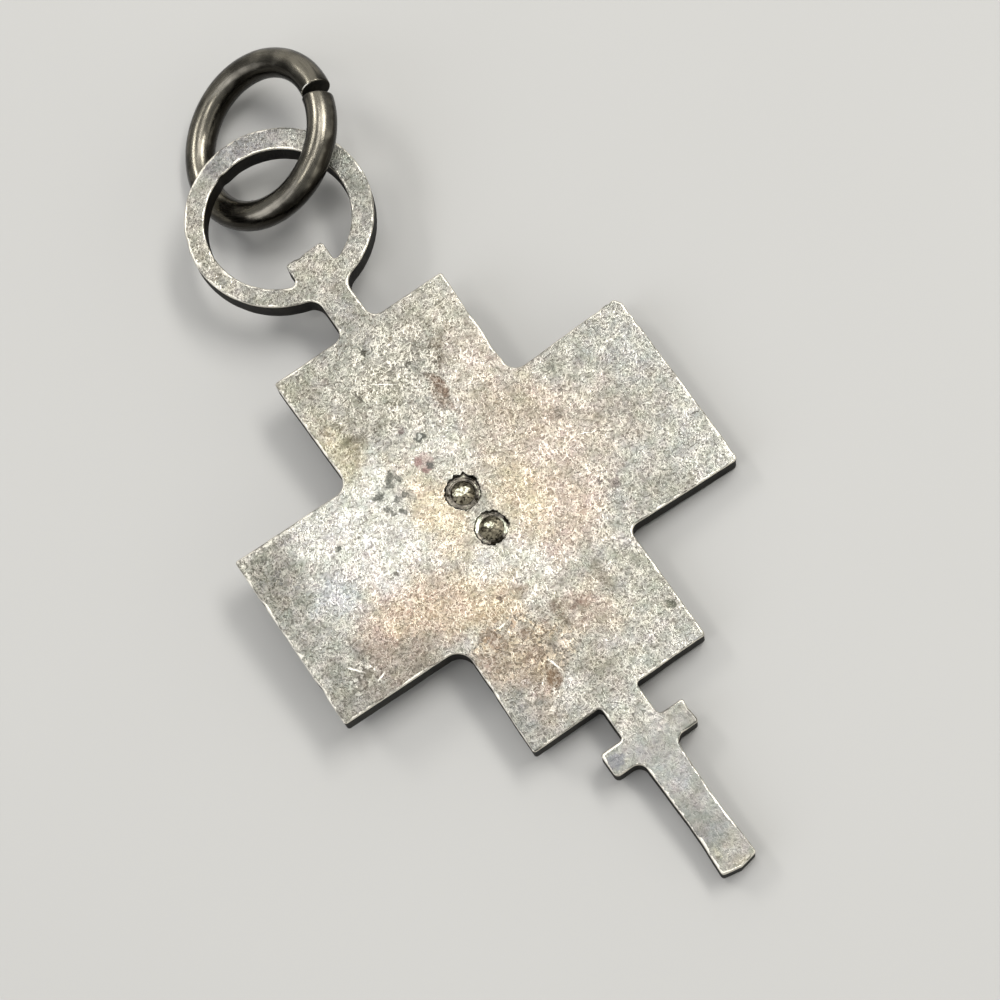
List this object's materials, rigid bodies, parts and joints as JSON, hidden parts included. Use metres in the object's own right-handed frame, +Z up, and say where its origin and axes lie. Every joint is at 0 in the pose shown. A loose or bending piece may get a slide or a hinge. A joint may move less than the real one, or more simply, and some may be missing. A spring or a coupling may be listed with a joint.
{
  "type": "cross charm",
  "caption": "Flat sawn cross charm with a round hanging loop, a jump ring through it and a barred pin at the foot, to hang from a chain or bracelet.",
  "frame": {"origin": "middle of the whole charm's footprint, on the flat surface that it lies on", "axes": "+Z up from the surface, +Y along the charm towards its hanging loop, +X towards the arm that touches the surface"},
  "size_m": [0.0162, 0.0345, 0.0036],
  "materials": {
    "tarnished_silver": "fine blasted silver sheet, tarnished in warm and grey patches, bright worn edges",
    "rivet_silver": "filed silver wire ends with a small bright dome in a dark recess",
    "oxidised_silver": "smooth drawn wire, dark oxidised"
  },
  "bodies": {
    "root": {"cross_plate": "tarnished_silver", "rivet_upper": "rivet_silver", "rivet_lower": "rivet_silver", "jump_ring": "oxidised_silver"}
  },
  "joints": []
}
